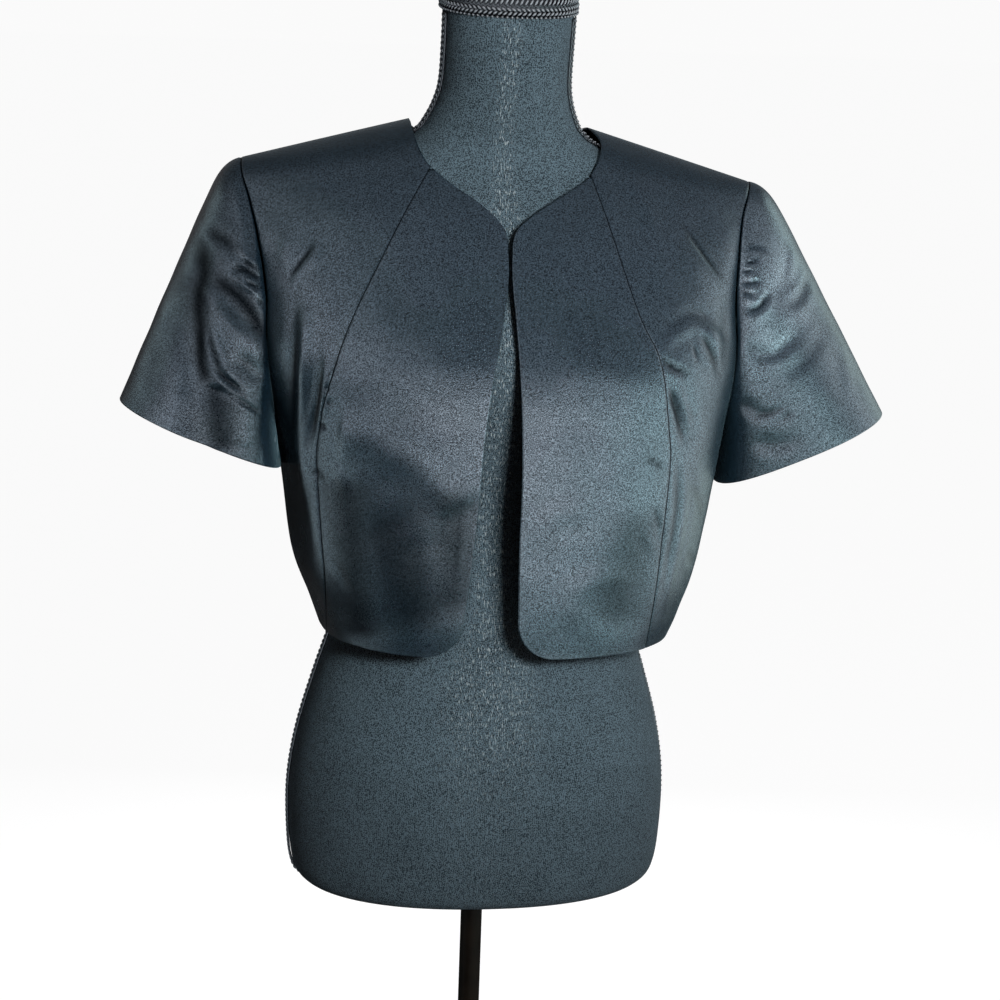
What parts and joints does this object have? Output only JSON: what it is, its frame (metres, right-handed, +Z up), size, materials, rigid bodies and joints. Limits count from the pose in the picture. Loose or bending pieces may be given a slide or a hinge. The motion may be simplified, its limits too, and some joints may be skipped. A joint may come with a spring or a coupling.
{
  "type": "cropped blazer on a dress form",
  "caption": "Short-sleeved cropped satin blazer with an open edge-to-edge front, worn by a limbless dress form on a pole and a round base.",
  "frame": {"origin": "on the floor, at the middle of the round base, under the pole", "axes": "+Z up along the pole, -Y to the front of the jacket, +X to the wearer's left"},
  "size_m": [0.6594, 0.34, 1.4895],
  "materials": {
    "satin": "charcoal cotton satin with a soft sheen",
    "jersey": "matt black knitted cover",
    "gimp": "plaited black cord braid",
    "steel": "dark brown-black satin paint"
  },
  "bodies": {
    "root": {"back": "satin", "front_centre_left": "satin", "front_centre_right": "satin", "front_side_left": "satin", "front_side_right": "satin", "sleeve_left": "satin", "sleeve_right": "satin", "form_torso": "jersey", "neck_braid": "gimp", "side_braid_left": "gimp", "side_braid_right": "gimp", "pole": "steel", "base": "steel"}
  },
  "joints": []
}
